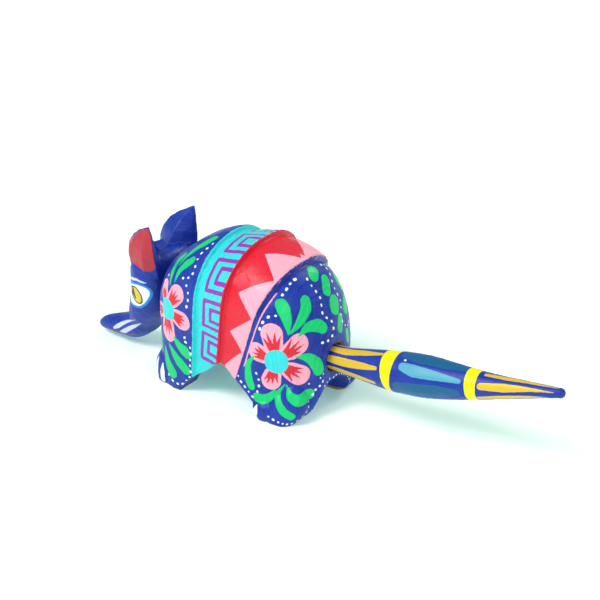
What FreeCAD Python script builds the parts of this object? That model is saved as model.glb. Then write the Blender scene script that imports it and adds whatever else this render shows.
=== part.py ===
import FreeCAD, Part

import math
import os

V = FreeCAD.Vector

# A carved and painted wooden armadillo whose head and tail nod on nails inside the body.
# Millimetres. +X points along the tail, +Y is the animal's right, +Z is up.
# The origin is on the ground, midway between the snout's tip and the tail's tip.

# Shell: stations and planes of its shields
FRONT_X = -43.0           # front face of the shoulder shield
REAR_X = 9.9              # rearmost point of the rump
SINK = 3.0                # the raw block reaches this far below the ground before it is cut flat
ARCH_POWER = 2.15         # squareness of the shell's arch: 2 is an ellipse
RIM_Z = 49.0              # the height at which each rim's x is given
SHOULDER_RIM = (-22.8, 0.1)   # x of the rim's plane at RIM_Z, and how much the plane leans
TURQUOISE_RIM = (-12.0, 0.163)
RED_RIM = (1.8, 0.35)
CROWN_SHIFT = -1.4        # sideways offset of the shell at RIM_Z
CROWN_FROM_Z = 22.0       # the height where it starts
LAP = 1.5                 # how far each band tucks under the shield in front of it

# Gaps between the legs
SIDE_GAP_APEX = (-17.6, 13.0)   # x and z of the top of the gap between front and rear legs
SIDE_GAP_FRONT_X = -32.6
SIDE_GAP_REAR_X = -3.6
BELLY_GAP_Y = -0.8        # middle of the gap between left and right legs
BELLY_HALF_Y = 8.8        # half its width at the ground
BELLY_Z = 9.2             # its height

# Head
NECK_Z = 22.8
NECK_R = 3.4
NECK_END_X = -32.5

# Hole for the neck, and the nail and wire loop that the head hangs from
NECK_HOLE_R = 7.4
NECK_HOLE_Z = 24.2
NECK_HOLE_END_X = -17.0
HEAD_PIVOT_X = -37.0
HEAD_PIN_Z = 29.5
HEAD_PIN_Y = (-14.2, 11.0)
PIN_R = 0.7
LOOP_WIRE_R = 0.45
LOOP_R = 1.25             # radius of the loop's bend, to the middle of the wire
LOOP_DEPTH = 2.8          # how deep its legs go into the neck

# Tail, its hole and its nail
TAIL_PEG_Z = 15.4
TAIL_PEG_R = 3.1
TAIL_PEG_END_X = 4.6
TAIL_HOLE_R = 4.3
TAIL_HOLE_Z = 15.5
TAIL_HOLE_END_X = -15.8
TAIL_PIVOT_X = 8.2
TAIL_PIVOT_Z = 16.9
TAIL_PIN_Y = (-7.5, 7.0)
TAIL_PIN_GAP = 0.06       # play of the tail on its nail

# Counterweights
WOOD_DENSITY = 600e-6     # grams per cubic millimetre
STEEL_DENSITY = 7850e-6
HEAD_WEIGHT_R = 4.4
TAIL_WEIGHT_R = 3.3
NAIL_R = 0.6
NAIL_HEAD_R = 1.6
NAIL_HEAD_T = 0.6
NAIL_BITE = 2.4           # how deep each weight's nail goes into its peg

BIG = 200.0


def box(x0, x1, y0, y1, z0, z1):
    return Part.makeBox(x1 - x0, y1 - y0, z1 - z0, V(x0, y0, z0))


def rod(radius, start, end):
    start, end = V(*start), V(*end)
    return Part.makeCylinder(radius, (end - start).Length, start, end - start)


def ellipsoid(centre, radii):
    matrix = FreeCAD.Matrix()
    matrix.scale(*radii)
    matrix.move(V(*centre))
    return Part.makeSphere(1.0).transformGeometry(matrix)


def curve(points, closed=False):
    spline = Part.BSplineCurve()
    spline.interpolate(Points=[V(*p) for p in points], PeriodicFlag=closed)
    return spline.toShape()


def superellipse(angle, half_a, half_b, power):
    """A point on a squared-off ellipse."""
    c, s = math.cos(angle), math.sin(angle)
    a = math.copysign(abs(c) ** (2.0 / power), c) * half_a
    b = math.copysign(abs(s) ** (2.0 / power), s) * half_b
    return a, b


def crown_shift(z):
    """The carver's block leaned a little: the crown of the shell lies left of the feet's middle."""
    return CROWN_SHIFT * max(z - CROWN_FROM_Z, 0) / (RIM_Z - CROWN_FROM_Z)


def shell_section(x_at_rim, lean, top_z, wide_z, wide_y, foot_y):
    """The outline of the shell in a plane that leans back from the vertical towards its top.
    It is a squared arch above wide_z, with sides that draw in to foot_y at the ground."""
    outline = []
    for step in range(9):
        angle = math.pi / 2 * step / 8
        y, rise = superellipse(angle, wide_y, top_z - wide_z, ARCH_POWER)
        outline.append((y, wide_z + rise))
    for step in range(1, 5):
        z = wide_z - (wide_z + SINK) * step / 4
        t = max(z, 0) / wide_z
        outline.insert(0, (foot_y + (wide_y - foot_y) * t * (2 - t), z))
    right = [(x_at_rim - lean * (RIM_Z - z), y, z) for y, z in outline]
    left = [(x, -y, z) for x, y, z in reversed(right[:-1])]
    right = [(x, y + crown_shift(z), z) for x, y, z in right]
    left = [(x, y + crown_shift(z), z) for x, y, z in left]
    arch = curve(right + left)
    base = Part.makeLine(V(*left[-1]), V(*right[0]))
    return Part.Wire([arch, base])


def loft(sections):
    return Part.makeLoft(sections, True, False)


# ---- the carved body ----

def shoulder_shield():
    x, lean = SHOULDER_RIM
    return loft([
        shell_section(FRONT_X, 0.0, 33.2, 22.0, 10.6, 10.6),
        shell_section(FRONT_X + 1.8, 0.01, 36.0, 23.0, 13.6, 13.6),
        shell_section(FRONT_X + 6.0, 0.03, 39.6, 25.0, 16.6, 16.2),
        shell_section(FRONT_X + 12.0, 0.07, 43.4, 27.0, 18.2, 17.4),
        shell_section(x, lean, 46.6, 28.0, 18.7, 17.4),
    ])


def turquoise_band():
    x, lean = TURQUOISE_RIM
    front_x, front_lean = SHOULDER_RIM
    return loft([
        shell_section(front_x - LAP, front_lean, 44.8, 28.0, 17.3, 16.2),
        shell_section((front_x + x) / 2, (front_lean + lean) / 2, 46.4, 30.0, 18.1, 16.2),
        shell_section(x, lean, 47.4, 31.0, 19.1, 16.4),
    ])


def red_band():
    x, lean = RED_RIM
    front_x, front_lean = TURQUOISE_RIM
    return loft([
        shell_section(front_x - LAP, front_lean, 45.6, 30.0, 17.6, 15.6),
        shell_section((front_x + x) / 2, (front_lean + lean) / 2, 45.0, 30.0, 17.8, 16.4),
        shell_section(x, lean, 42.6, 29.0, 18.0, 17.2),
    ])


def rump_shield():
    x, lean = RED_RIM
    return loft([
        shell_section(x - LAP, lean, 40.6, 28.0, 16.8, 16.8),
        shell_section(x + 2.6, lean * 0.8, 39.0, 25.0, 17.6, 18.2),
        shell_section(x + 5.2, lean * 0.46, 34.6, 21.0, 15.8, 17.4),
        shell_section(x + 6.9, lean * 0.17, 28.4, 16.0, 12.0, 13.8),
        shell_section(REAR_X, 0.0, 22.4, 11.0, 7.0, 9.0),
    ])


def feet():
    """The feet flare past the shell: toes forwards, heels backwards."""
    parts = []
    for side in (-1, 1):
        parts.append(ellipsoid((FRONT_X + 4.4, side * 12.2, 3.2), (5.4, 4.9, 7.6)))
        parts.append(ellipsoid((2.0, side * 13.8, 1.0), (6.4, 4.8, 8.0)))
        parts.append(ellipsoid((4.6, side * 12.6, 3.0), (4.2, 4.8, 8.5)))
        parts.append(ellipsoid((-3.0, side * 15.4, 2.4), (5.0, 4.0, 3.8)))
    return parts


def side_gap():
    """The arch between the front and the rear legs, cut right through."""
    apex_x, apex_z = SIDE_GAP_APEX
    points = [
        (SIDE_GAP_FRONT_X, 0, -SINK),
        (SIDE_GAP_FRONT_X + 3.0, 0, 4.0),
        (apex_x - 3.8, 0, 10.0),
        (apex_x, 0, apex_z),
        (apex_x + 4.2, 0, 10.6),
        (SIDE_GAP_REAR_X - 3.0, 0, 5.0),
        (SIDE_GAP_REAR_X + 1.0, 0, -SINK),
    ]
    wire = Part.Wire([curve(points), Part.makeLine(V(*points[-1]), V(*points[0]))])
    face = Part.Face(wire)
    face.translate(V(0, -BIG / 2, 0))
    return face.extrude(V(0, BIG, 0))


def belly_gap():
    """The low arch between the left and the right legs, along the whole body."""
    points = [(0, -BELLY_HALF_Y - 0.8, -SINK)]
    for step in range(9):
        angle = math.pi * (1 - step / 8)
        y, z = superellipse(angle, BELLY_HALF_Y, BELLY_Z, 2.2)
        points.append((0, y, z))
    points.append((0, BELLY_HALF_Y + 0.8, -SINK))
    wire = Part.Wire([curve(points), Part.makeLine(V(*points[-1]), V(*points[0]))])
    face = Part.Face(wire)
    face.translate(V(-BIG / 2, BELLY_GAP_Y, 0))
    return face.extrude(V(BIG, 0, 0))


def carved_block():
    """The outer shape, before any hole is drilled."""
    shell = shoulder_shield().fuse([turquoise_band(), red_band(), rump_shield()] + feet())
    ground = box(-BIG, BIG, -BIG, BIG, -BIG, 0)
    return shell.cut([ground, side_gap(), belly_gap()])


def neck_hole():
    return rod(NECK_HOLE_R, (FRONT_X - 5, 0, NECK_HOLE_Z), (NECK_HOLE_END_X, 0, NECK_HOLE_Z))


def tail_hole():
    return rod(TAIL_HOLE_R, (REAR_X + 5, 0, TAIL_HOLE_Z), (TAIL_HOLE_END_X, 0, TAIL_HOLE_Z))


def cross_pin(x, z, ends):
    """A nail across the body, and the plug that closes its hole on the left flank."""
    pin = rod(PIN_R, (x, ends[0], z), (x, ends[1], z))
    bore = rod(PIN_R, (x, -BIG / 4, z), (x, ends[1], z))
    plug = rod(PIN_R, (x, -BIG / 4, z), (x, ends[0], z))
    return pin, bore, plug


# ---- the head ----

def level_section(centre_x, half_x, half_y, z, power=2.4):
    points = []
    for step in range(16):
        x, y = superellipse(2 * math.pi * step / 16, half_x, half_y, power)
        points.append((centre_x + x, y, z))
    return Part.Wire([curve(points, closed=True)])


def cross_section(x, centre_z, half_y, half_z, power=2.0):
    points = []
    for step in range(12):
        y, z = superellipse(2 * math.pi * step / 12, half_y, half_z, power)
        points.append((x, y, centre_z + z))
    return Part.Wire([curve(points, closed=True)])


def skull():
    return loft([
        level_section(-59.9, 2.1, 2.8, 4.4),
        level_section(-58.8, 3.9, 5.3, 7.6),
        level_section(-56.2, 6.2, 7.9, 13.0),
        level_section(-53.3, 7.3, 9.5, 19.0),
        level_section(-52.2, 7.2, 10.4, 25.0),
        level_section(-51.7, 6.5, 10.8, 31.0),
        level_section(-51.8, 5.4, 9.4, 33.2),
        level_section(-51.9, 3.0, 5.0, 34.0),
    ])


def snout():
    return loft([
        cross_section(-54.8, 13.0, 6.4, 4.0),
        cross_section(-59.5, 8.2, 5.6, 5.2),
        cross_section(-65.0, 5.4, 4.5, 4.1),
        cross_section(-71.0, 4.1, 3.5, 3.0),
        cross_section(-75.6, 3.2, 2.5, 2.1),
        cross_section(-77.8, 2.7, 1.2, 1.0),
    ])


def ear(side):
    """A horn of wood: a rounded outer face, and two flat inner faces that meet in a crease."""
    # x and y at each height of the front edge, two points of the outer face,
    # both corners of the rear edge, and the crease
    levels = (
        (44.8, ((-47.6, 10.1), (-47.6, 10.4), (-47.3, 10.5), (-47.1, 10.3), (-47.2, 10.2), (-47.4, 10.1))),
        (42.6, ((-52.3, 8.9), (-50.4, 10.3), (-48.0, 10.7), (-46.8, 10.3), (-47.0, 9.6), (-49.0, 8.6))),
        (40.4, ((-55.2, 8.2), (-53.0, 10.5), (-48.8, 11.2), (-46.5, 10.2), (-46.9, 9.2), (-50.4, 6.9))),
        (37.4, ((-57.5, 7.7), (-55.2, 10.3), (-49.2, 11.6), (-46.2, 10.2), (-46.8, 8.7), (-50.8, 4.1))),
        (34.3, ((-58.3, 7.1), (-55.8, 10.0), (-49.4, 11.5), (-46.0, 10.0), (-46.7, 8.0), (-51.5, 1.8))),
        (30.5, ((-57.8, 5.8), (-55.4, 9.4), (-49.4, 10.9), (-46.0, 8.9), (-46.5, 6.0), (-51.5, 0.6))),
        (25.0, ((-57.0, 5.0), (-55.2, 8.4), (-50.2, 9.6), (-46.8, 7.2), (-46.8, 4.5), (-51.5, 0.6))),
    )
    wires = []
    for z, corners in levels:
        points = [V(x, side * y, z) for x, y in corners]
        wires.append(Part.makePolygon(points + points[:1]))
    return Part.makeLoft(wires, True, True)


def neck():
    return rod(NECK_R, (-50.0, 0, NECK_Z), (NECK_END_X, 0, NECK_Z))


def weight_nail(x_face, z, direction, length):
    """A nail along X whose head lies on the free end of a weight."""
    tip = x_face - direction * NAIL_BITE
    end = x_face + direction * length
    shank = rod(NAIL_R, (tip, 0, z), (end, 0, z))
    return shank.fuse(rod(NAIL_HEAD_R, (end, 0, z), (end + direction * NAIL_HEAD_T, 0, z)))


def balanced_weight(carving, pivot_x, x_face, z, radius, direction):
    """The slug whose length balances a carving over its pivot, with the nail that holds it."""
    pull = carving.Volume * WOOD_DENSITY * (carving.CenterOfGravity.x - pivot_x)
    length = 8.0
    for _ in range(40):
        slug = rod(radius, (x_face, 0, z), (x_face + direction * length, 0, z))
        nail = weight_nail(x_face, z, direction, length)
        slug = slug.cut(nail)
        moment = 0.0
        for piece in (slug, nail):
            moment += piece.Volume * STEEL_DENSITY * (piece.CenterOfGravity.x - pivot_x)
        reach = abs(x_face + direction * length - pivot_x)
        slope = math.pi * radius ** 2 * STEEL_DENSITY * reach
        length += (abs(pull) - abs(moment)) / slope
    return slug, nail


def hanger_loop():
    """A bent wire that hangs over the nail; its legs are driven into the neck."""
    x, z = HEAD_PIVOT_X, HEAD_PIN_Z
    foot = NECK_Z + NECK_R - LOOP_DEPTH
    bend = Part.makeTorus(LOOP_R, LOOP_WIRE_R, V(x, 0, z), V(0, 1, 0))
    bend = bend.common(box(x - BIG, x + BIG, -BIG, BIG, z, z + BIG))
    legs = [rod(LOOP_WIRE_R, (x + side * LOOP_R, 0, foot), (x + side * LOOP_R, 0, z)) for side in (-1, 1)]
    return bend.fuse(legs).removeSplitter()


# ---- the tail ----

def tail_spindle():
    """Narrow where it leaves the rump, fullest before the middle, and rising to a blunt tip."""
    stations = [
        (TAIL_PEG_END_X, TAIL_PEG_Z, TAIL_PEG_R),
        (9.5, 15.5, 3.5),
        (13.0, 15.6, 3.7),
        (20.0, 16.2, 4.5),
        (28.5, 17.0, 5.5),
        (37.0, 18.0, 5.8),
        (46.0, 19.1, 5.0),
        (54.0, 20.4, 3.9),
        (62.0, 22.0, 2.9),
        (70.0, 23.7, 2.0),
        (76.5, 25.1, 1.3),
    ]
    sections = [cross_section(x, z, r, r) for x, z, r in stations]
    tip_x, tip_z, tip_r = stations[-1]
    return loft(sections).fuse(Part.makeSphere(tip_r * 1.06, V(tip_x - 0.2, 0, tip_z)))


def save(name, shape):
    shape.exportStep("parts/" + name + ".step")


def main():
    os.makedirs("parts", exist_ok=True)
    head_pin, head_pin_bore, head_plug = cross_pin(HEAD_PIVOT_X, HEAD_PIN_Z, HEAD_PIN_Y)
    tail_pin, tail_pin_bore, tail_plug = cross_pin(TAIL_PIVOT_X, TAIL_PIVOT_Z, TAIL_PIN_Y)
    block = carved_block()
    holes = [neck_hole(), tail_hole(), head_pin_bore, tail_pin_bore]
    save("body", block.cut(holes))
    save("head_hanger_pin", head_pin)
    save("head_pin_plug", head_plug.common(block))
    save("tail_pivot_pin", tail_pin)
    save("tail_pin_plug", tail_plug.common(block))

    loop = hanger_loop()
    save("head_hanger_loop", loop)
    carved = skull().fuse([snout(), ear(-1), ear(1), neck()]).cut(loop)
    slug, nail = balanced_weight(carved, HEAD_PIVOT_X, NECK_END_X, NECK_Z, HEAD_WEIGHT_R, 1)
    save("head", carved.cut(nail))
    save("head_counterweight", slug)
    save("head_weight_nail", nail)

    loose_hole = rod(PIN_R + TAIL_PIN_GAP, (TAIL_PIVOT_X, -8, TAIL_PIVOT_Z), (TAIL_PIVOT_X, 8, TAIL_PIVOT_Z))
    carved = tail_spindle().cut(loose_hole)
    slug, nail = balanced_weight(carved, TAIL_PIVOT_X, TAIL_PEG_END_X, TAIL_PEG_Z, TAIL_WEIGHT_R, -1)
    save("tail", carved.cut(nail))
    save("tail_counterweight", slug)
    save("tail_weight_nail", nail)


main()
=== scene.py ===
import math

import bmesh
import bpy
import numpy as np
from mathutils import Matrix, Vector, noise
from mathutils.bvhtree import BVHTree


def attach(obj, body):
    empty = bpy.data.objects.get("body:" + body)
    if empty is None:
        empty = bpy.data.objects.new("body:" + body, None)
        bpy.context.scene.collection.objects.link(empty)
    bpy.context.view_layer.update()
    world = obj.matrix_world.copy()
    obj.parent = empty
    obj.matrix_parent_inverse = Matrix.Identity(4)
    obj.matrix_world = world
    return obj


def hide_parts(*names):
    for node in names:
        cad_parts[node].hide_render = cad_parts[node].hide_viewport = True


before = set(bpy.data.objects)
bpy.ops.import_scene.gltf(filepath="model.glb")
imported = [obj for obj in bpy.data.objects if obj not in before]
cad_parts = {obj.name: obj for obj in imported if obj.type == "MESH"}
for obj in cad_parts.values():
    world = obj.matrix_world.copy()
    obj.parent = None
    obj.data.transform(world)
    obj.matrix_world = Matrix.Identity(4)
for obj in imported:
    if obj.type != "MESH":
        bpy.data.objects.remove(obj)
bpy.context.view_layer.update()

# A painted wooden armadillo. The carved pieces take their form from the CAD nodes, worked in millimetres:
# their skins are remeshed evenly, given knife flats, and painted. Each colour of paint is a mesh attribute
# that says how many millimetres inside that colour's shape a vertex lies.
# -Y is the animal's left. A motif's own coordinates are millimetres across and up from its centre.

MM = 0.001
FAR = 3.0                  # mm: paint farther than this from a vertex isn't measured
CROWN_Z = 24.0             # the height round which angles of the shell are measured

BLUE = (0.013, 0.046, 0.38)
DEEP_BLUE = (0.004, 0.020, 0.26)
TURQUOISE = (0.035, 0.66, 0.71)
RED = (0.74, 0.012, 0.036)
PINK = (0.98, 0.39, 0.52)
GREEN = (0.0, 0.60, 0.17)
PURPLE = (0.30, 0.035, 0.44)
WHITE = (0.93, 0.93, 0.95)
YELLOW = (0.94, 0.82, 0.0)
GOLD = (0.80, 0.50, 0.035)
TEAL = (0.004, 0.11, 0.27)
# the tail's cyan is a painted highlight, a reflection on its glossy blue
CYAN_HIGHLIGHT = (0.09, 0.38, 0.54)
EAR_RED = (0.47, 0.028, 0.05)
EYE_BLUE = (0.015, 0.26, 0.75)
EYE_BROWN = (0.055, 0.032, 0.012)
IRIS = (0.78, 0.55, 0.05)
PALE = (0.62, 0.66, 0.88)
MOUTH = (0.30, 0.10, 0.13)
RAW = (0.60, 0.40, 0.21)
RAW_DARK = (0.33, 0.18, 0.08)
STREAK_SHADE = 0.86        # how much darker a colour is where the brush ran dry


# ---- carved skins ----

def joined_nodes(names, swell=None):
    """One mesh in millimetres from copies of CAD nodes. Nodes in swell grow a little in x and z about their
    own middle, so that the remesh joins them to the wood round them."""
    bm = bmesh.new()
    for name in names:
        part = bmesh.new()
        part.from_mesh(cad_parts[name].data)
        bmesh.ops.scale(part, verts=part.verts, vec=(1 / MM,) * 3)
        bmesh.ops.remove_doubles(part, verts=part.verts, dist=0.0005)
        if swell and name in swell:
            middle = sum((v.co for v in part.verts), Vector()) / len(part.verts)
            for v in part.verts:
                v.co.x = middle.x + (v.co.x - middle.x) * swell[name]
                v.co.z = middle.z + (v.co.z - middle.z) * swell[name]
        copied = bpy.data.meshes.new("part")
        part.to_mesh(copied)
        part.free()
        bm.from_mesh(copied)
        bpy.data.meshes.remove(copied)
    mesh = bpy.data.meshes.new("joined")
    bm.to_mesh(mesh)
    bm.free()
    return mesh


def even_skin(name, nodes, voxel, swell=None):
    """The nodes as one closed skin of even faces, softened as by sanding."""
    source = bpy.data.objects.new(name, joined_nodes(nodes, swell))
    bpy.context.collection.objects.link(source)
    remesh = source.modifiers.new("remesh", "REMESH")
    remesh.mode = "VOXEL"
    remesh.voxel_size = voxel
    smooth = source.modifiers.new("smooth", "SMOOTH")
    smooth.factor = 0.5
    smooth.iterations = 3
    bpy.context.view_layer.update()
    evaluated = source.evaluated_get(bpy.context.evaluated_depsgraph_get())
    mesh = bpy.data.meshes.new_from_object(evaluated)
    bpy.data.objects.remove(source)
    obj = bpy.data.objects.new(name, mesh)
    bpy.context.collection.objects.link(obj)
    for polygon in mesh.polygons:
        polygon.use_smooth = True
    return obj


class Skin:
    """A carved mesh in millimetres and the paint on it."""

    def __init__(self, obj):
        self.mesh = obj.data
        count = len(self.mesh.vertices)
        self.co = np.empty(count * 3, np.float32)
        self.mesh.vertices.foreach_get("co", self.co)
        self.co = self.co.reshape(-1, 3).astype(float)
        normals = np.empty(count * 3, np.float32)
        self.mesh.vertices.foreach_get("normal", normals)
        self.normals = normals.reshape(-1, 3).astype(float)
        polygons = [tuple(p.vertices) for p in self.mesh.polygons]
        self.tree = BVHTree.FromPolygons([tuple(c) for c in self.co], polygons)
        self.layers = {}
        self.brush = np.zeros(count)

    def layer(self, name):
        return self.layers.setdefault(name, np.full(len(self.co), -FAR))

    def cover(self, name, inside):
        """Adds a shape given at every vertex."""
        np.maximum(self.layer(name), np.clip(inside, -FAR, FAR), out=self.layer(name))

    def on(self, point):
        """The place on the skin nearest to a point."""
        return self.tree.find_nearest(Vector(point))[0]

    def stroke(self, name, points, radii, step=0.35):
        """A brush stroke along a smooth line through points, snapped to the skin."""
        path, widths = smooth_line(points, radii, step)
        places = np.array([self.on(p) for p in path])
        low = places.min(0) - max(widths) - 1.0
        high = places.max(0) + max(widths) + 1.0
        near = np.where(np.all((self.co > low) & (self.co < high), axis=1))[0]
        if len(near) == 0:
            return
        gap = np.linalg.norm(self.co[near][:, None] - places[None], axis=2)
        inside = (np.array(widths)[None] - gap).max(1)
        layer = self.layer(name)
        layer[near] = np.maximum(layer[near], inside)

    def dots(self, name, points, spacing, radius, seed=0):
        """A row of dots along a smooth line."""
        rng = np.random.default_rng(seed)
        path, _ = smooth_line(points, [0] * len(points), 0.1)
        travelled = 0.0
        for i in range(1, len(path)):
            travelled += (path[i] - path[i - 1]).length
            if travelled >= spacing:
                travelled = 0.0
                size = radius * rng.uniform(0.82, 1.15)
                way = (path[i] - path[i - 1]).normalized() * size * rng.uniform(0.1, 0.5)
                self.stroke(name, [path[i] - way, path[i] + way], [size, size * 0.9])

    def push(self, amounts):
        self.co += self.normals * amounts[:, None]

    def finish(self):
        """Writes the shape, in metres, and the paint back to the mesh."""
        self.mesh.vertices.foreach_set("co", (self.co * MM).astype(np.float32).ravel())
        for name, values in [*self.layers.items(), ("brush", self.brush)]:
            attribute = self.mesh.attributes.new(name, "FLOAT", "POINT")
            attribute.data.foreach_set("value", values.astype(np.float32))
        self.mesh.update()


def smooth_line(points, values, step):
    """Points along a Catmull-Rom curve, and the values at them."""
    points = [Vector(p) for p in points]
    path, widths = [], []
    for i in range(len(points) - 1):
        a, b = points[i], points[i + 1]
        before = points[i - 1] if i else a * 2 - b
        after = points[i + 2] if i + 2 < len(points) else b * 2 - a
        pieces = max(int((b - a).length / step), 1)
        for k in range(pieces):
            t = k / pieces
            path.append(0.5 * (2 * a + (b - before) * t + (2 * before - 5 * a + 4 * b - after) * t * t
                               + (3 * a - before - 3 * b + after) * t ** 3))
            widths.append(values[i] + (values[i + 1] - values[i]) * t)
    path.append(points[-1])
    widths.append(values[-1])
    return path, widths


def inside_outline(x, z, outline):
    """How far points lie inside a closed smooth outline in a plane."""
    loop = [(px, pz, 0) for px, pz in outline]
    path, _ = smooth_line(loop + loop[:1], [0] * (len(loop) + 1), 0.4)
    ax = np.array([p.x for p in path[:-1]])
    az = np.array([p.y for p in path[:-1]])
    bx, bz = np.roll(ax, -1), np.roll(az, -1)
    best = np.full(len(x), 99.0)
    crossings = np.zeros(len(x), int)
    for i in range(len(ax)):
        ex, ez = bx[i] - ax[i], bz[i] - az[i]
        t = np.clip(((x - ax[i]) * ex + (z - az[i]) * ez) / max(ex * ex + ez * ez, 1e-9), 0, 1)
        best = np.minimum(best, np.hypot(x - ax[i] - t * ex, z - az[i] - t * ez))
        spans = (az[i] > z) != (bz[i] > z)
        if abs(ez) > 1e-9:
            crossings += spans & (x < ax[i] + (z - az[i]) * ex / ez)
    return np.where(crossings % 2 == 1, best, -best)


RIDGE_WIDTH = 0.16         # of a ridge between flats, as a share of a flat
ROLL_CELLS = 1.7           # size of the unevenness, in flats


def knife_flats(skin, cell, ridge, roll, seed):
    """Low ridges between flats left by the knife, and a gentle unevenness."""
    amounts = np.empty(len(skin.co))
    offset = Vector((seed * 7.3, seed * 3.1, seed * 5.7))
    for i, c in enumerate(skin.co):
        p = Vector(c)
        near = noise.voronoi(p / cell + offset)[0]
        crest = math.exp(-((near[1] - near[0]) / RIDGE_WIDTH) ** 2)
        amounts[i] = ridge * crest + roll * noise.noise(p / (cell * ROLL_CELLS) + offset)
    skin.push(amounts)


# ---- materials ----

class Nodes:
    """A node tree with short ways to add to it."""

    def __init__(self, name):
        self.material = bpy.data.materials.new(name)
        self.material.use_nodes = True
        self.tree = self.material.node_tree
        self.tree.nodes.clear()
        self.output = self.tree.nodes.new("ShaderNodeOutputMaterial")
        self.surface = self.tree.nodes.new("ShaderNodeBsdfPrincipled")
        self.tree.links.new(self.surface.outputs["BSDF"], self.output.inputs["Surface"])
        self.place = self.tree.nodes.new("ShaderNodeTexCoord").outputs["Object"]

    def add(self, kind, **settings):
        node = self.tree.nodes.new(kind)
        for key, value in settings.items():
            setattr(node, key, value)
        return node

    def put(self, socket, value):
        if isinstance(value, bpy.types.NodeSocket):
            self.tree.links.new(value, socket)
        elif isinstance(value, tuple) and len(value) == 3 and socket.type == "RGBA":
            socket.default_value = (*value, 1)
        else:
            socket.default_value = value

    def math(self, operation, a, b=0.0, c=0.0):
        node = self.add("ShaderNodeMath", operation=operation)
        for socket, value in zip(node.inputs, (a, b, c)):
            self.put(socket, value)
        return node.outputs[0]

    def attribute(self, name):
        return self.add("ShaderNodeAttribute", attribute_name=name).outputs["Fac"]

    def noise(self, scale, detail=3.0, stretch=(1, 1, 1), roughness=0.5):
        """Noise in object space; scale is in features per millimetre."""
        mapping = self.add("ShaderNodeMapping")
        self.put(mapping.inputs["Vector"], self.place)
        mapping.inputs["Scale"].default_value = [s / MM * scale for s in stretch]
        texture = self.add("ShaderNodeTexNoise")
        self.put(texture.inputs["Vector"], mapping.outputs["Vector"])
        texture.inputs["Scale"].default_value = 1.0
        texture.inputs["Detail"].default_value = detail
        texture.inputs["Roughness"].default_value = roughness
        return texture.outputs[0]

    def noise_along(self, value, scale):
        texture = self.add("ShaderNodeTexNoise", noise_dimensions="1D")
        self.put(texture.inputs["W"], value)
        texture.inputs["Scale"].default_value = scale
        texture.inputs["Detail"].default_value = 3.0
        return texture.outputs[0]

    def blend(self, factor, a, b):
        node = self.add("ShaderNodeMix", data_type="RGBA")
        self.put(node.inputs[0], factor)
        self.put(node.inputs[6], a)
        self.put(node.inputs[7], b)
        return node.outputs[2]

    def span(self, value, low, high, to_low=0.0, to_high=1.0):
        node = self.add("ShaderNodeMapRange")
        for socket, v in zip(node.inputs, (value, low, high, to_low, to_high)):
            self.put(socket, v)
        return node.outputs[0]

    def bump(self, height, strength, distance_mm):
        node = self.add("ShaderNodeBump")
        node.inputs["Strength"].default_value = strength
        node.inputs["Distance"].default_value = distance_mm * MM
        self.put(node.inputs["Height"], height)
        self.put(self.surface.inputs["Normal"], node.outputs["Normal"])


def wood_colour(n):
    grain = n.noise(0.5, 4.0, (0.12, 1.0, 1.0))
    fine = n.noise(2.2, 2.0, (0.08, 1.0, 1.0))
    tone = n.math("ADD", n.math("MULTIPLY", grain, 0.7), n.math("MULTIPLY", fine, 0.3))
    return n.blend(n.span(tone, 0.35, 0.65), RAW_DARK, RAW)


def paint(name, layers, wobble=0.22):
    """Acrylic over wood, bare where the attribute raw says. Each layer is (attribute, colour, thickness,
    metal), the lowest first."""
    n = Nodes(name)
    jitter = n.math("MULTIPLY", n.math("SUBTRACT", n.noise(0.9, 2.0), 0.5), wobble)
    patchy = n.noise(0.16, 3.0)
    warp = n.math("MULTIPLY", n.noise(0.25, 2.0), 1.6)
    streaks = n.noise_along(n.math("ADD", n.attribute("brush"), warp), 2.6)
    grit = n.noise(4.0, 2.0)
    blue = n.blend(n.span(n.math("ADD", n.math("MULTIPLY", streaks, 0.6),
                                 n.math("MULTIPLY", patchy, 0.4)), 0.35, 0.66), DEEP_BLUE, BLUE)
    colour, height, metal = blue, 0.0, 0.0
    for attribute, tint, thickness, metallic in layers:
        inside = n.math("ADD", n.attribute(attribute), jitter)
        factor = n.span(inside, -0.05, 0.05)
        streaked = blue
        if tint != BLUE:
            streaked = n.blend(n.span(streaks, 0.38, 0.62), tuple(c * STREAK_SHADE for c in tint), tint)
        colour = n.blend(factor, colour, streaked)
        edge = n.span(inside, -0.06, 0.14)
        height = n.math("MAXIMUM", height, n.math("MULTIPLY", edge, thickness))
        if metallic or not isinstance(metal, float):
            metal = n.span(factor, 0.0, 1.0, metal, metallic)
    roughness = n.span(n.math("ADD", n.math("MULTIPLY", patchy, 0.7),
                              n.math("MULTIPLY", streaks, 0.3)), 0.3, 0.7, 0.30, 0.48)
    bare = n.span(n.math("ADD", n.attribute("raw"), jitter), -0.08, 0.08)
    colour = n.blend(bare, colour, wood_colour(n))
    roughness = n.span(bare, 0.0, 1.0, roughness, 0.8)
    n.put(n.surface.inputs["Base Color"], colour)
    n.put(n.surface.inputs["Roughness"], roughness)
    n.put(n.surface.inputs["Metallic"], metal)
    n.put(n.surface.inputs["Specular IOR Level"], 0.3)
    relief = n.math("ADD", n.math("MULTIPLY", streaks, 0.030), n.math("MULTIPLY", grit, 0.012))
    relief = n.math("ADD", relief, n.math("MULTIPLY", patchy, 0.05))
    n.bump(n.math("ADD", relief, height), 0.8, 1.0)
    return n.material


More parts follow.
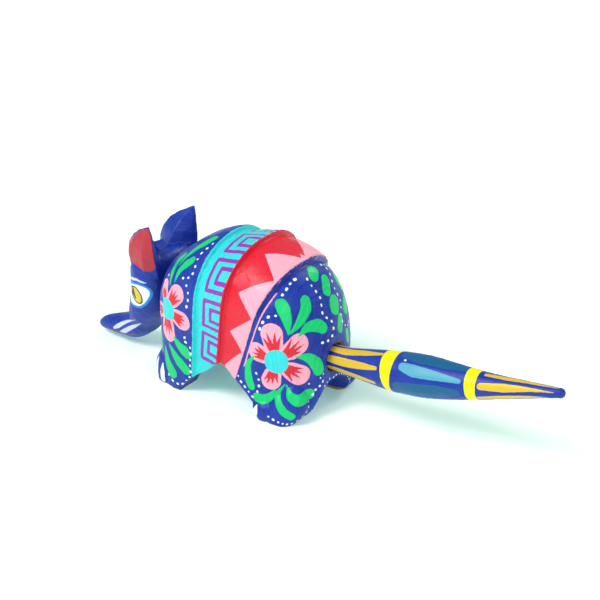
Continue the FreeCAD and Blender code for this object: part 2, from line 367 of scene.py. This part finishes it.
def steel(name, tint, roughness, scratch):
    """Drawn or turned steel with fine marks along X."""
    n = Nodes(name)
    marks = n.noise(scratch, 3.0, (0.05, 1.0, 1.0))
    blotch = n.noise(0.4, 3.0)
    dull = tuple(c * 0.55 for c in tint)
    n.put(n.surface.inputs["Base Color"], n.blend(n.span(blotch, 0.4, 0.75), tint, dull))
    n.put(n.surface.inputs["Metallic"], 1.0)
    n.put(n.surface.inputs["Roughness"], n.span(marks, 0.3, 0.7, roughness - 0.1, roughness + 0.12))
    n.bump(marks, 0.3, 0.02)
    return n.material


# ---- the body ----

def rim_x(z, rim):
    """x of a shield's rear rim, a plane that leans."""
    x, lean = rim
    return x - lean * (RIM_TOP_Z - z)


SHOULDER_RIM = (-22.8, 0.1)
TURQUOISE_RIM = (-12.0, 0.163)
RED_RIM = (1.8, 0.35)
RIM_TOP_Z = 49.0           # the height at which a rim's x is given
CREST = 0.3                # mm from a rim's wall back to the edge of its paint
ARC = 0.36                 # mm along the shell for a degree round the crown
FIRST_TOOTH, TOOTH_PITCH = 20.0, 34.2                  # degrees from the crown
FIRST_FRET, FRET_PITCH, FRETS_TO_A_SIDE = 15.5, 31.5, 4
# A fret is two brackets. Each is its half height in degrees, the place of its back as a share of the band's
# width, and half the stroke's width in mm.
FRET_BRACKETS = ((11.8, 0.32, 0.58), (5.4, 0.60, 0.60))
THREAD_BEHIND, THREAD_HALF = 1.3, 0.22                 # mm behind the red rim, and half its width
THREAD_START, THREAD_END = 44, 118                     # degrees from the crown


def shields(skin):
    """The turquoise band, the red band with its triangles, and the blue rump."""
    x, y, z = skin.co.T
    shoulder = rim_x(z, SHOULDER_RIM)
    turquoise = rim_x(z, TURQUOISE_RIM)
    red = rim_x(z, RED_RIM)
    skin.cover("turquoise", x - shoulder + CREST)
    skin.cover("red", x - turquoise + CREST)
    skin.cover("rump", x - red + 0.1)
    angle = np.degrees(np.arctan2(np.abs(y), z - CROWN_Z))
    skin.brush[:] = np.where(x < shoulder, x * 0.7 + z * 0.3, np.where(x < turquoise, x * 0.6 - z * 0.5, x))

    across = (x - turquoise) / (red - turquoise)
    width = red - turquoise
    half_pitch = TOOTH_PITCH / 2
    saw = np.abs((angle - FIRST_TOOTH + half_pitch) % TOOTH_PITCH - half_pitch) / half_pitch
    teeth = (across - 0.31 - 0.62 * saw) * width * 0.7
    strip = (across - 0.93) * width
    on_band = np.minimum(x - turquoise - 0.4, red - 0.05 - x)
    skin.cover("pink", np.minimum(np.maximum(teeth, strip), on_band))
    thread = THREAD_HALF - np.abs(x - red - THREAD_BEHIND)
    skin.cover("pink", np.minimum(thread, np.minimum(angle - THREAD_START, THREAD_END - angle) * 0.3))

    outward = np.minimum((angle - 3) * 0.35, (turquoise - 0.2 - x))
    band_width = turquoise - shoulder
    forward = (x - shoulder) / band_width
    for unit in range(FRETS_TO_A_SIDE):
        along = (angle - (FIRST_FRET + FRET_PITCH * unit)) * ARC
        for reach, start, half_width in FRET_BRACKETS:
            off_arm = np.abs(along) - reach * ARC
            behind = (forward - start) * band_width
            side = np.hypot(behind, np.maximum(off_arm, 0))
            arms = np.where(forward > start, np.abs(off_arm), np.hypot(behind, off_arm))
            bracket = half_width - np.minimum(side, arms)
            skin.cover("fret", np.minimum(bracket, outward))


SOLE_Z = 0.3               # the soles are bare up to here
RIGHT_FOOT_STRIP_Z = 1.0          # the inner faces of the right legs are wood-coloured up to here
RIGHT_FOOT_STRIP_Y = (6.5, 10.5)
# Height of a drilled hole's axis, its radius, and the x it runs between.
HOLES = ((24.2, 7.4, -50, -16.5), (15.5, 4.3, -16.3, 20))
HOLE_EDGE = 0.12           # mm of bare wood outside a hole's wall


def bare_wood(skin):
    """The soles and the drilled holes carry no paint; a strip at the foot of the inner faces of the right
    legs takes the same wood colour.
    """
    x, y, z = skin.co.T
    downward = (-skin.normals[:, 2] - 0.45) * 1.5
    skin.cover("raw", np.minimum(SOLE_Z - z, downward))
    inner, outer = RIGHT_FOOT_STRIP_Y
    inner_wall = np.minimum(y - inner, np.abs(skin.normals[:, 1]) * 4 - 2)
    skin.cover("raw", np.minimum(RIGHT_FOOT_STRIP_Z - z, np.minimum(inner_wall, outer - y)))
    for hole_z, radius, low, high in HOLES:
        within = radius + HOLE_EDGE - np.hypot(y, z - hole_z)
        skin.cover("raw", np.minimum(within, np.minimum(x - low, high - x)))


STAND_OFF, REACH = 30, 45  # mm: where a stencil's rays start, and how far they go


class Stencil:
    """A motif's upright plane, which faces a compass direction and is pressed straight onto the skin."""

    def __init__(self, skin, centre, azimuth, side):
        self.skin = skin
        self.side = side
        a = math.radians(azimuth)
        self.across = Vector((math.cos(a), math.sin(a) * side, 0))
        self.inward = Vector((-math.sin(a), math.cos(a) * side, 0))
        self.centre = Vector((centre[0], centre[1] * -side, centre[2]))

    def at(self, u, v):
        start = self.centre + self.across * u + Vector((0, 0, v)) - self.inward * STAND_OFF
        hit = self.skin.tree.ray_cast(start, self.inward, REACH)[0]
        return hit if hit else self.skin.on(start + self.inward * STAND_OFF)

    def stroke(self, layer, points, radii):
        self.skin.stroke(layer, [self.at(u, v) for u, v in points], radii)

    def flower(self, petals, disc, seed):
        """Round-ended petals of (angle, reach, half width), jagged marks on them, and a disc."""
        rng = np.random.default_rng(seed)
        for angle, reach, half in petals:
            a = math.radians(angle)
            start = disc * 0.8

            def spot(r, swing=0.0):
                return r * math.cos(a + swing), r * math.sin(a + swing)
            self.stroke("pink", [spot(start), spot((start + reach) * 0.5), spot(reach)],
                        [half * 0.5, half * 0.88, half])
            for k in range(4):
                swing = (k - 1.5) * 0.17 * half / 3.0 + rng.uniform(-0.03, 0.03)
                tip = disc + (reach + half - disc) * (0.80 - 0.10 * abs(k - 1.5) + rng.uniform(-0.08, 0.08))
                jag = [spot(disc * 0.9, swing * 0.7), spot((disc + tip) * 0.5, swing),
                       spot(tip, swing * 1.25)]
                self.stroke("mark", jag, [0.66 * half / 3, 0.46 * half / 3, 0.05])
        self.stroke("disc", [(0, -disc * 0.12), (0, disc * 0.12)], [disc, disc * 0.97])


# A petal is (degrees, reach, half width). A leaf is its half width and the line down its middle, in the
# stencil's own millimetres on the haunch and in x, y, z for the left flank on the shoulder.
HAUNCH_PETALS = ((99, 8.3, 3.1), (40, 7.7, 3.0), (-35, 7.5, 3.1), (-104, 6.4, 2.8), (159, 5.6, 2.9))
HAUNCH_LEAVES = (
    (1.85, ((3.3, 7.8), (2.9, 11.5), (1.9, 14.5), (1.2, 15.8))),
    (1.85, ((3.5, 8.0), (6.2, 10.8), (7.6, 13.6), (7.4, 15.2))),
    (1.85, ((5.8, 7.0), (8.2, 8.7), (10.7, 8.3), (12.0, 7.3))),
    (1.85, ((5.1, 1.5), (8.4, 0.6), (10.6, -1.8), (11.3, -3.8))),
    (1.7, ((2.5, -7.0), (3.9, -9.6), (6.2, -10.9), (8.8, -10.6))),
    (1.15, ((2.3, -6.9), (0.3, -10.4), (1.6, -13.6), (4.6, -15.4))),
    (1.45, ((-0.3, -8.6), (-1.6, -10.9), (-3.6, -12.3), (-5.6, -12.2))),
    (1.35, ((-6.0, 0.7), (-8.0, -2.8), (-8.0, -7.0), (-7.3, -9.2))),
)
SHOULDER_PETALS = ((112, 6.4, 2.2), (55, 7.0, 2.8), (-19, 6.1, 2.9), (-93, 7.4, 3.0), (203, 5.8, 2.5))
SHOULDER_LEAVES = (
    (1.35, ((-32.7, 17.3, 33.8), (-31.8, 15.7, 37.0), (-30.1, 14.7, 39.1), (-28.6, 14.3, 40.5))),
    (1.35, ((-34.3, 17.2, 32.4), (-35.0, 15.2, 35.2), (-35.3, 12.6, 37.5), (-34.2, 11.2, 39.5))),
    (1.35, ((-33.6, 14.4, 37.4), (-31.2, 11.4, 41.1), (-28.2, 9.3, 43.6), (-26.2, 7.2, 45.1))),
    (1.75, ((-33.4, 18.1, 17.4), (-31.3, 18.2, 15.2), (-29.4, 18.3, 13.9), (-28.4, 18.3, 13.2))),
    (1.6, ((-35.5, 17.5, 14.5), (-33.3, 17.9, 11.6), (-30.9, 18.0, 9.2), (-29.1, 18.0, 7.6))),
    (2.0, ((-37.7, 16.6, 12.8), (-37.0, 17.0, 9.3), (-35.8, 17.4, 6.6), (-34.6, 17.6, 5.2))),
    (0.9, ((-39.8, 15.5, 16.0), (-40.5, 15.0, 13.5), (-40.6, 15.0, 11.5), (-40.2, 15.3, 10.0))),
)
# The two ends of an oval's middle line, and its half width.
RUMP_OVALS = (
    ((1.2, 0.9, 39.0), (2.1, -0.1, 38.3), 1.9),
    ((3.6, 3.6, 35.9), (4.9, 2.3, 33.7), 1.75),
    ((6.6, 3.7, 30.0), (7.1, 3.1, 28.9), 2.3),
    ((8.3, 4.4, 25.4), (9.3, 2.8, 23.3), 1.45),
    ((9.4, 6.8, 20.4), (9.6, 6.6, 18.6), 1.3),
)
# The top of each claw; it runs straight down from there.
CLAWS = ((-39.0, 17.0, 6.4), (-41.5, 15.6, 7.4), (-43.2, 13.0, 7.6), (-43.6, 10.4, 7.0),
         (-4.0, 18.8, 4.8), (-6.2, 17.2, 5.2), (-6.9, 14.8, 5.2), (-6.0, 12.4, 4.6))


HAUNCH_PLACE = {1: (1.2, 30), -1: (-3.4, 25)}    # x and azimuth; the right one clears the ovals on the rump


def leaf(draw, points, half):
    draw("leaf", points, [0.12, half * 0.7, half, half * 0.92])


def flank(skin, side):
    """The flowers, leaves and rows of dots of one flank. Side 1 is the animal's left."""
    def there(points):
        return [(x, y * -side, z) for x, y, z in points]

    haunch_x, haunch_azimuth = HAUNCH_PLACE[side]
    haunch = Stencil(skin, (haunch_x, 16.3, 18.7), haunch_azimuth, side)
    for half, points in HAUNCH_LEAVES:
        leaf(haunch.stroke, points, half)
    haunch.flower(HAUNCH_PETALS, 3.3, 5 + side)
    shoulder = Stencil(skin, (-35.2, 17.8, 25.3), -14, side)
    for half, points in SHOULDER_LEAVES:
        leaf(skin.stroke, there(points), half)
    shoulder.flower(SHOULDER_PETALS, 3.0, 9 + side)

    rows = (
        ([(-24.0, 8.0, 45.6), (-25.6, 11.2, 43.8), (-26.5, 13.5, 41.8), (-26.2, 16.3, 38.6),
          (-27.0, 17.3, 36.9), (-29.9, 17.2, 35.8)], 2.0, 0.36),
        ([(-29.6, 17.4, 35.2), (-27.4, 18.3, 34.0), (-26.8, 18.7, 31.0), (-27.7, 18.8, 27.4)], 2.1, 0.36),
        ([(-27.3, 18.5, 19.6), (-29.4, 18.4, 17.4), (-27.0, 18.4, 15.6), (-27.6, 18.1, 9.7),
          (-27.7, 18.0, 6.6), (-29.7, 17.7, 3.2), (-31.9, 17.7, 2.2), (-34.2, 17.6, 2.3),
          (-36.6, 17.0, 3.9)], 2.0, 0.36),
        ([(-37.0, 14.6, 36.2), (-37.8, 15.4, 33.6), (-38.6, 15.6, 31.4)], 1.8, 0.34),
        ([(0.9, 4.6, 39.2), (0.4, 7.5, 39.0), (0.4, 10.7, 37.4), (0.0, 12.4, 36.0)], 2.0, 0.40),
        ([(2.2, 15.2, 30.6), (-0.1, 16.0, 32.2), (-2.4, 17.4, 29.8), (-3.4, 17.6, 27.0)], 2.1, 0.38),
        ([(-5.6, 17.6, 15.6), (-4.2, 17.5, 13.0), (-3.8, 17.5, 10.8), (-4.4, 17.7, 8.2)], 1.9, 0.34),
        ([(-12.0, 17.2, 12.4), (-10.1, 17.6, 10.0), (-7.8, 17.8, 8.0), (-5.6, 17.9, 6.0)], 1.7, 0.33),
        ([(-1.4, 19.2, 2.9), (0.4, 18.6, 2.1), (3.6, 18.4, 1.4), (5.5, 17.8, 1.1), (7.2, 16.5, 0.9),
          (8.3, 14.7, 1.5), (8.8, 12.9, 2.8), (9.0, 11.8, 4.6), (9.3, 10.6, 6.8), (9.6, 9.4, 8.8),
          (9.8, 7.2, 10.2), (9.9, 5.6, 11.8)], 1.6, 0.34),
        ([(8.9, 9.2, 10.6), (8.2, 10.2, 11.0), (7.5, 11.2, 12.0)], 1.6, 0.34),
    )
    for i, (points, spacing, radius) in enumerate(rows):
        skin.dots("dot", there(points), spacing, radius, seed=20 * i + side + 1)
    for x, y, top in CLAWS:
        skin.stroke("dot", there([(x, y, top), (x, y, top * 0.6), (x, y, 1.2)]), [0.25, 0.85, 0.85])


def arch_rows(skin):
    """Small dots in rows over the arch between the rear legs."""
    for row, points in enumerate((
        ((9.7, -7.0, 8.6), (9.9, -4.6, 9.5), (9.9, -2.3, 10.5)),
        ((9.7, -8.6, 11.6), (9.9, -6.9, 12.6), (9.9, -5.6, 13.6)),
        ((9.9, -2.6, 9.7), (9.9, 0.9, 9.9), (9.9, 3.4, 8.9), (9.9, 6.2, 6.8), (9.6, 8.2, 3.4)),
        ((9.9, 1.6, 10.8), (9.9, 4.6, 10.0), (9.8, 7.0, 8.0), (9.4, 9.2, 4.6), (9.0, 10.0, 2.2)),
    )):
        skin.dots("dot", points, 1.35, 0.25, seed=300 + row)


def rump_line(skin):
    """The row of ovals down the middle of the rump, between two rows of dots."""
    for start, end, half in RUMP_OVALS:
        skin.stroke("leaf", [start, end], [half, half * 0.95])
    edge = [(0.5, -5.7, 39.7), (3.3, -5.3, 36.8), (5.3, -4.0, 33.1), (7.1, -5.2, 29.1),
            (8.3, -2.8, 26.4), (9.2, -3.0, 24.2), (9.6, -5.2, 22.2), (8.6, -9.4, 22.2)]
    for mirror in (1, -1):
        points = [(x, y * mirror + 2.5, z) for x, y, z in edge]
        skin.dots("dot", points, 2.1, 0.38, seed=71 + mirror)


HEEL_Z = 5.5               # the rounding starts below here


def round_heels(skin):
    """The back edges of both heels are sanded away towards the ground."""
    x, y, z = skin.co.T
    low = np.clip(HEEL_Z - z, 0, HEEL_Z) ** 2
    skin.co[:, 0] -= 0.085 * low * np.clip((x - 3.5) / 5.5, 0, 1)
    inner = np.clip((13.5 - np.abs(y + 0.8)) / 4.0, 0, 1)
    skin.co[:, 2] += 0.05 * low * inner * np.clip((x - 5.0) / 4.0, 0, 1)


# mm that a colour stands proud of the wood.
PAINT_HEIGHTS = (("pink", 0.04), ("leaf", 0.05), ("disc", 0.08), ("dot", 0.10), ("fret", 0.05))
PLUG_SWELL = {"head_pin_plug": 1.12, "tail_pin_plug": 1.12}


def body():
    obj = even_skin("armadillo_body", ["body", "head_pin_plug", "tail_pin_plug"], 0.3, PLUG_SWELL)
    skin = Skin(obj)
    shields(skin)
    bare_wood(skin)
    rump_line(skin)
    arch_rows(skin)
    for side in (1, -1):
        flank(skin, side)
    round_heels(skin)
    knife_flats(skin, 6.0, 0.10, 0.22, 1)
    thickness = np.zeros(len(skin.co))
    for name, height in PAINT_HEIGHTS:
        np.maximum(thickness, height * np.clip(skin.layers[name] / 0.3, 0, 1), out=thickness)
    skin.push(thickness)
    skin.co[:, 2] = np.maximum(skin.co[:, 2], 0.0)      # nothing goes below the table
    skin.finish()
    obj.data.materials.append(paint("body_paint", (
        ("turquoise", TURQUOISE, 0.0, 0.0),
        ("red", RED, 0.0, 0.0),
        ("rump", BLUE, 0.0, 0.0),
        ("pink", PINK, 0.03, 0.0),
        ("mark", RED, 0.04, 0.0),
        ("disc", TURQUOISE, 0.05, 0.0),
        ("leaf", GREEN, 0.04, 0.0),
        ("fret", PURPLE, 0.04, 0.0),
        ("dot", WHITE, 0.06, 0.0),
    )))
    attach(obj, "carved_body")
    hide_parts("body", "head_pin_plug", "tail_pin_plug")


# ---- the head ----

EAR_PATCH = ((-47.0, 44.4), (-50.6, 43.0), (-54.0, 40.2), (-56.6, 36.8), (-57.6, 34.2), (-56.6, 32.6),
             (-52.2, 31.4), (-48.4, 30.7), (-46.4, 31.8), (-45.6, 34.5), (-45.6, 38.0), (-46.2, 41.5))
EYE_WHITE = ((-58.2, 23.6), (-55.2, 24.9), (-51.9, 25.4), (-49.5, 24.7), (-49.0, 23.0), (-50.4, 20.5),
             (-52.6, 18.4), (-54.8, 17.7), (-57.2, 18.6))
EYE_IRIS = ((-56.0, 24.0), (-54.2, 24.4), (-52.6, 23.4), (-51.8, 21.2), (-52.2, 19.4), (-53.4, 18.7),
            (-54.8, 19.1), (-56.2, 21.0))
# The brow, two whiskers and the mouth, for the left side of the face.
FACE_STROKES = (
    ("pale", ((-57.2, 9.2, 26.4), (-55.2, 10.0, 26.8), (-52.7, 10.8, 27.2), (-50.8, 10.7, 26.9),
              (-49.4, 10.3, 26.8)), (0.3, 0.5, 0.5, 0.4, 0.15)),
    ("pale", ((-69.5, 3.6, 4.0), (-67.3, 4.0, 5.5), (-65.0, 4.2, 7.2), (-61.9, 4.8, 9.0),
              (-57.2, 7.3, 11.6)), (0.4, 0.75, 0.65, 0.4, 0.12)),
    ("pale", ((-66.6, 4.0, 3.4), (-64.1, 4.5, 4.9), (-60.5, 5.4, 7.4), (-57.5, 6.2, 9.2),
              (-55.5, 6.7, 10.5)), (0.45, 0.8, 0.65, 0.4, 0.12)),
    ("mouth", ((-76.0, 1.8, 2.6), (-71.0, 2.9, 2.9), (-66.0, 4.0, 3.1), (-60.0, 5.0, 3.9)),
     (0.15, 0.28, 0.28, 0.12)),
)
NECK_X = -43.0             # the neck peg behind here is bare


def head():
    obj = even_skin("armadillo_head", ["head"], 0.25)
    skin = Skin(obj)
    x, y, z = skin.co.T
    skin.brush[:] = z * 0.8 + x * 0.3
    for side in (1, -1):
        facing = -side * skin.normals[:, 1]
        flank_side = -side * y
        outer = np.minimum((facing - 0.12) * 6, flank_side - 6)
        leaf_face = np.minimum((facing - 0.32) * 5, flank_side - 5.5)
        skin.cover("ear", np.minimum(inside_outline(x, z, EAR_PATCH), leaf_face))
        white = inside_outline(x, z, EYE_WHITE)
        iris = inside_outline(x, z, EYE_IRIS)
        skin.cover("lid", np.minimum(white + 0.75, outer + 2))
        skin.cover("white", np.minimum(white, outer + 2))
        skin.cover("outline", np.minimum(iris + 0.1, outer + 2))
        skin.cover("iris", np.minimum(iris - 0.38, outer + 2))

        def there(points):
            return [(px, py * -side, pz) for px, py, pz in points]
        skin.stroke("pupil", there([(-55.1, 9.8, 23.5), (-55.2, 9.7, 21.9), (-54.6, 9.6, 20.4)]),
                    [0.35, 0.75, 0.35])
        for layer, points, radii in FACE_STROKES:
            skin.stroke(layer, there(points), radii)
    skin.cover("raw", x - NECK_X)
    knife_flats(skin, 5.0, 0.08, 0.16, 2)
    skin.finish()
    obj.data.materials.append(paint("head_paint", (
        ("ear", EAR_RED, 0.02, 0.0),
        ("lid", EYE_BLUE, 0.03, 0.0),
        ("white", WHITE, 0.04, 0.0),
        ("outline", EYE_BROWN, 0.05, 0.0),
        ("iris", IRIS, 0.05, 0.0),
        ("pupil", EYE_BROWN, 0.05, 0.0),
        ("pale", PALE, 0.05, 0.0),
        ("mouth", MOUTH, 0.0, 0.0),
    ), wobble=0.14))
    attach(obj, "nodding_head")
    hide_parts("head")


# ---- the tail ----

TAIL_FROM, TAIL_RUN = 4.6, 72.0      # x of the root, and the length over which the tail rises
TAIL_AIM = 6                         # mm off the spine where the tail's strokes are set out


def spine_z(x):
    """Height of the middle of the tail, which rises towards its tip."""
    t = np.clip((x - TAIL_FROM) / TAIL_RUN, 0, 1)
    return 15.4 + 3.0 * t + 6.8 * t * t


def tail():
    obj = even_skin("armadillo_tail", ["tail"], 0.22)
    skin = Skin(obj)
    x, y, z = skin.co.T
    angle = np.arctan2(-y, z - spine_z(x))
    skin.brush[:] = np.degrees(angle) * 0.12

    def there(px, degrees):
        a = math.radians(degrees)
        return (px, -TAIL_AIM * math.sin(a), spine_z(px) + TAIL_AIM * math.cos(a))

    def along(layer, places, radii):
        skin.stroke(layer, [skin.on(there(px, a)) for px, a in places], radii)

    for k in range(7):
        a = 22 + 360 / 7 * k
        along("gold", [(9.6, a), (14.0, a), (20.0, a - 3), (25.6 - 0.3 * (k % 3), a - 6)],
              [0.95, 1.2, 1.0, 0.5])
    for k in range(6):
        a = 10 + 60 * k
        wide = 1.15 if k % 2 else 0.75
        along("gold", [(56.0, a), (62.0, a - 4), (69.0, a - 8), (75.0, a)], [wide * 0.8, wide, 0.5, 0.1])
    left = 27.4 - 1.5 * np.cos(angle)
    skin.cover("yellow", np.minimum(x - left, 30.3 - x))
    skin.cover("yellow", np.minimum(x - 51.7 + 0.8 * np.cos(angle), 54.6 - 0.4 * np.cos(angle) - x))
    for k in range(4):
        a = 8 + 98 * k
        along("teal", [(32.6, a), (38.0, a + 2), (44.0, a), (50.0, a)], [1.3, 2.0, 1.9, 1.0])
    # The cyan patches between the teal ones are a painted highlight, a reflection on the glossy blue; the
    # teal is paint.
    for k in range(3):
        a = 54 + 98 * k
        along("cyan_highlight", [(33.4, a - 6), (37.0, a), (43.0, a + 3), (50.0, a + 8)], [1.2, 1.7, 1.3, 0.6])
    # A small white spot: a painted highlight.
    along("white", [(33.2, 28), (33.4, 28)], [0.3, 0.3])
    skin.cover("raw", 7.8 - x)
    knife_flats(skin, 5.0, 0.05, 0.12, 3)
    skin.finish()
    obj.data.materials.append(paint("tail_paint", (
        ("teal", TEAL, 0.0, 0.0),
        ("cyan_highlight", CYAN_HIGHLIGHT, 0.02, 0.0),
        ("yellow", YELLOW, 0.04, 0.0),
        ("gold", GOLD, 0.05, 0.1),
        ("white", WHITE, 0.05, 0.0),
    ), wobble=0.2))
    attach(obj, "nodding_tail")
    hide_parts("tail")


body()
head()
tail()

wire_steel = steel("wire_steel", (0.55, 0.55, 0.57), 0.32, 1.8)
slug_steel = steel("slug_steel", (0.42, 0.41, 0.40), 0.45, 0.9)
for node_name in ("head_hanger_pin", "tail_pivot_pin", "head_hanger_loop",
                  "head_weight_nail", "tail_weight_nail", "head_counterweight", "tail_counterweight"):
    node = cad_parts[node_name]
    node.data.materials.clear()
    node.data.materials.append(slug_steel if "counterweight" in node_name else wire_steel)


# ---- studio ----

def floor():
    bpy.ops.mesh.primitive_plane_add(size=8.0, location=(0, 0, -0.0001))
    plane = bpy.context.object
    plane.name = "floor"
    n = Nodes("floor_paper_glow")
    tone = n.noise(0.02, 3.0)
    n.put(n.surface.inputs["Base Color"], n.blend(tone, (0.90, 0.90, 0.90), (0.94, 0.94, 0.94)))
    n.put(n.surface.inputs["Roughness"], 0.9)
    # The floor glows though it is no lamp: teal near the armadillo, a painted teal tint of its shadow and
    # bounce light, and white farther out, painted light that keeps the far floor white.
    distance = n.add("ShaderNodeVectorMath", operation="LENGTH")
    n.put(distance.inputs[0], n.place)
    away = n.span(distance.outputs["Value"], 0.2, 0.7)
    n.put(n.surface.inputs["Emission Color"], n.blend(away, (0.20, 0.42, 0.32), (1.0, 1.0, 1.0)))
    n.put(n.surface.inputs["Emission Strength"], n.span(away, 0.0, 1.0, 0.6, 0.95))
    plane.data.materials.append(n.material)


def lamp(name, location, size, power, colour, target=(0, 0, 0.02)):
    light = bpy.data.lights.new(name, "AREA")
    light.shape = "DISK"
    light.size = size
    light.energy = power
    light.color = colour
    obj = bpy.data.objects.new(name, light)
    bpy.context.collection.objects.link(obj)
    obj.location = location
    obj.rotation_euler = (Vector(target) - Vector(location)).to_track_quat("-Z", "Y").to_euler()


def studio():
    world = bpy.data.worlds.new("studio")
    bpy.context.scene.world = world
    world.use_nodes = True
    background = world.node_tree.nodes["Background"]
    background.inputs["Color"].default_value = (0.72, 1.0, 0.89, 1)
    background.inputs["Strength"].default_value = 0.42
    lamp("key", (-0.25, -0.55, 0.75), 0.45, 7.2, (1.0, 0.95, 0.95))
    lamp("fill", (0.75, -0.35, 0.45), 0.5, 2.6, (1.0, 0.97, 0.97))
    lamp("back", (0.2, 0.7, 0.6), 0.4, 2.4, (1.0, 0.97, 0.97))
    bpy.context.scene.view_settings.view_transform = "Standard"


AIM = (-0.01785, 0.0227, 0.017)      # metres
DISTANCE, AZIMUTH, ELEVATION = 0.4, 34.5, 25.0
HALF_VIEW = 0.225                    # half the picture's width at a distance of 1


def camera():
    lens = bpy.data.cameras.new("camera")
    lens.sensor_width = 36.0
    lens.angle = 2 * math.atan(HALF_VIEW)
    lens.clip_start = 0.01
    obj = bpy.data.objects.new("camera", lens)
    bpy.context.collection.objects.link(obj)
    azimuth, elevation = math.radians(AZIMUTH), math.radians(ELEVATION)
    level = math.cos(elevation)
    back = Vector((math.sin(azimuth) * level, -math.cos(azimuth) * level, math.sin(elevation)))
    obj.location = Vector(AIM) + back * DISTANCE
    obj.rotation_euler = (-back).to_track_quat("-Z", "Y").to_euler()
    bpy.context.scene.camera = obj


floor()
studio()
camera()
